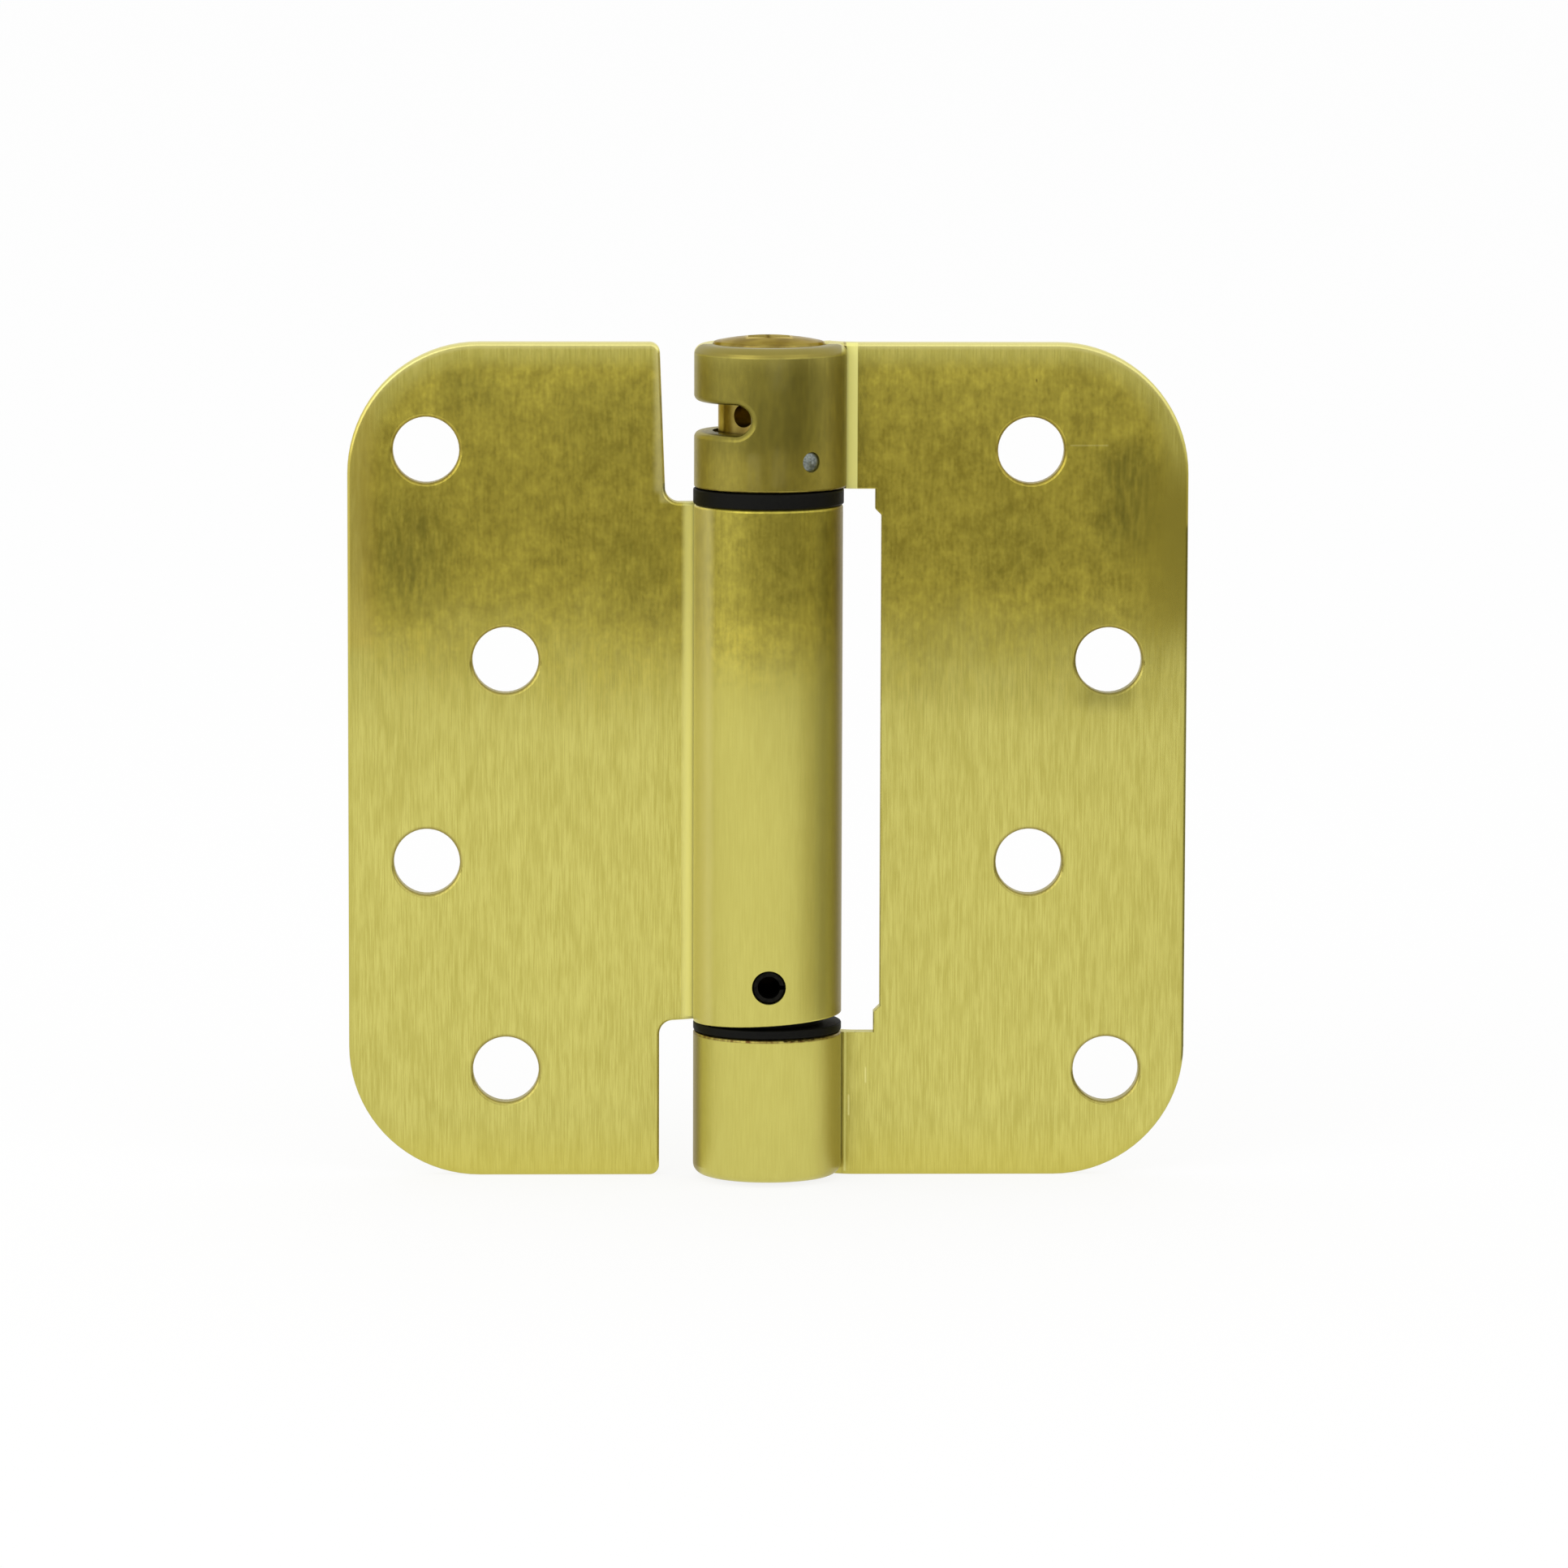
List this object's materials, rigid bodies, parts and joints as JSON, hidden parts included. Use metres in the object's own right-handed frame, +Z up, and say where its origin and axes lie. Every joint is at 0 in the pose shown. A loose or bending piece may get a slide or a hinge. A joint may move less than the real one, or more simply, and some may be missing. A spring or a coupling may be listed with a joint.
{
  "type": "self-closing hinge",
  "caption": "Adjustable self-closing butt hinge: two round-cornered leaves on a spring barrel, with a hex-socket tension adjuster in the upper knuckle.",
  "frame": {"origin": "on the pin axis, level with the bottom edge of the leaves", "axes": "+X from the pin axis across the knuckle leaf, +Y out of the backs of the open leaves, +Z up the pin"},
  "size_m": [0.1016, 0.0182, 0.1025],
  "materials": {
    "satin_brass": "satin, brushed along the pin",
    "black_nylon": "matt moulded",
    "turned_bronze": "turned, slightly toned",
    "bright_steel": "smooth, domed end",
    "blackened_steel": "oil blackened",
    "spring_steel": "oiled wire"
  },
  "bodies": {
    "knuckle_side": {"knuckle_leaf": "satin_brass", "adjuster_retaining_pin": "bright_steel"},
    "barrel_side": {"barrel_leaf": "satin_brass", "upper_bearing": "black_nylon", "lower_bearing": "black_nylon", "spring_anchor": "turned_bronze", "anchor_pin": "blackened_steel", "torsion_spring": "spring_steel"},
    "adjuster": {"tension_adjuster": "turned_bronze"}
  },
  "joints": [
    {"name": "leaf_swing", "type": "hinge", "parent": "knuckle_side", "child": "barrel_side", "pos_m": [0, 0, 0.0508], "axis": [0, 0, 1], "range_deg": [-150, 180], "deforming": ["torsion_spring"]},
    {"name": "adjuster_turn", "type": "hinge", "parent": "knuckle_side", "child": "adjuster", "pos_m": [0, 0, 0.093], "axis": [0, 0, 1], "range_deg": [0, 288], "deforming": ["torsion_spring"]}
  ]
}
